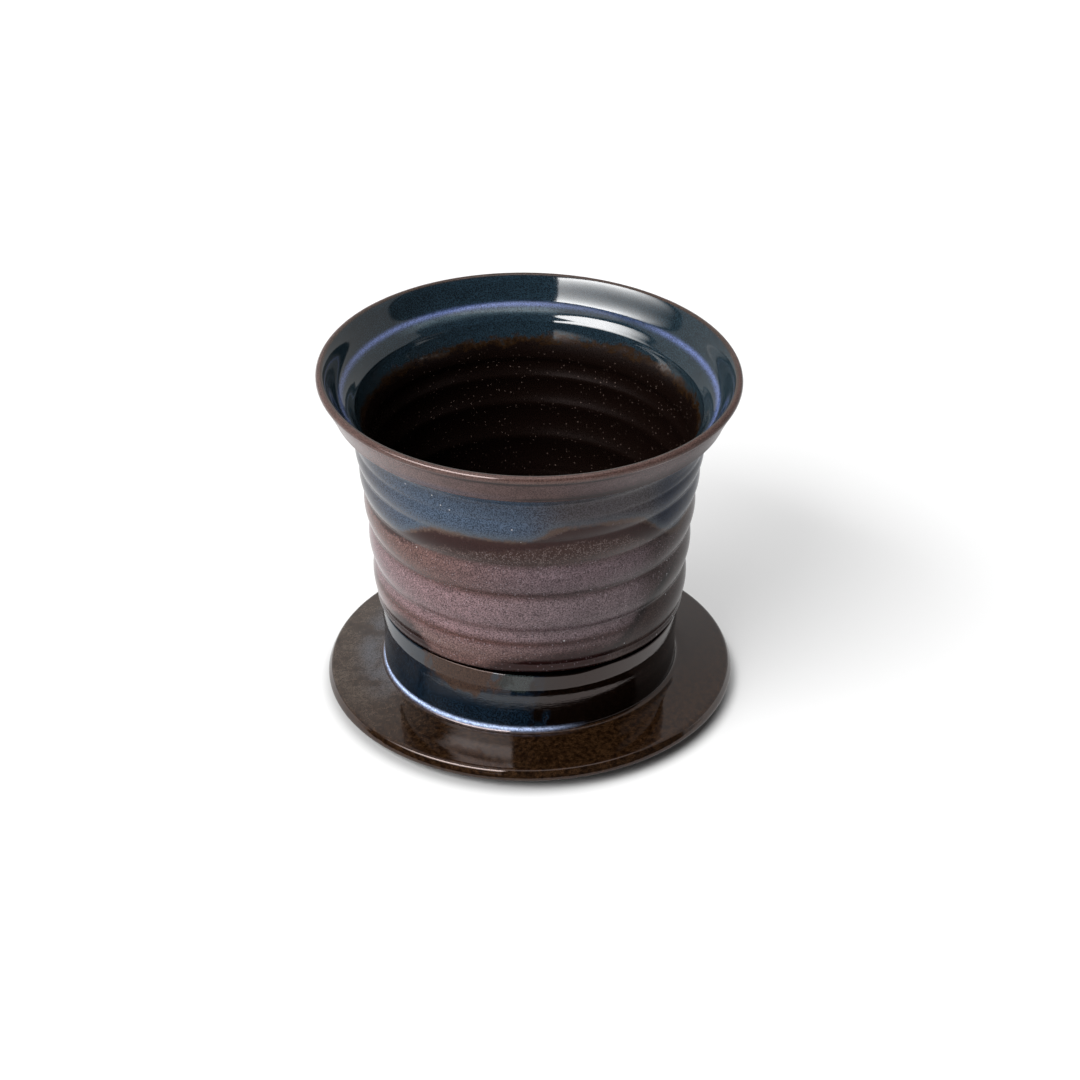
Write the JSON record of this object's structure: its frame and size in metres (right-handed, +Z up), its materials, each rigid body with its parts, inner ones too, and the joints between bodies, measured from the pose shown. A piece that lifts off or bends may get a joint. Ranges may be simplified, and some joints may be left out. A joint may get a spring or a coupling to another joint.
{
  "type": "sake warming pot with stand",
  "caption": "Wide flared stoneware pot with throwing rings, seated in a low collared stand with a broad brim; the pot lifts out.",
  "frame": {"origin": "on the turning axis, in the plane the stand's foot ring rests on", "axes": "+Z up along the turning axis of both pieces; X and Y are any two directions across it"},
  "size_m": [0.13, 0.13, 0.112],
  "materials": {
    "stand_glaze": "gloss",
    "pot_glaze": "satin"
  },
  "bodies": {
    "stand": {"stand": "stand_glaze"},
    "pot": {"pot": "pot_glaze"}
  },
  "joints": [
    {"name": "pot_lift", "type": "slide", "parent": "stand", "child": "pot", "axis": [0, 0, 1], "range_m": [0, 0.04]}
  ]
}
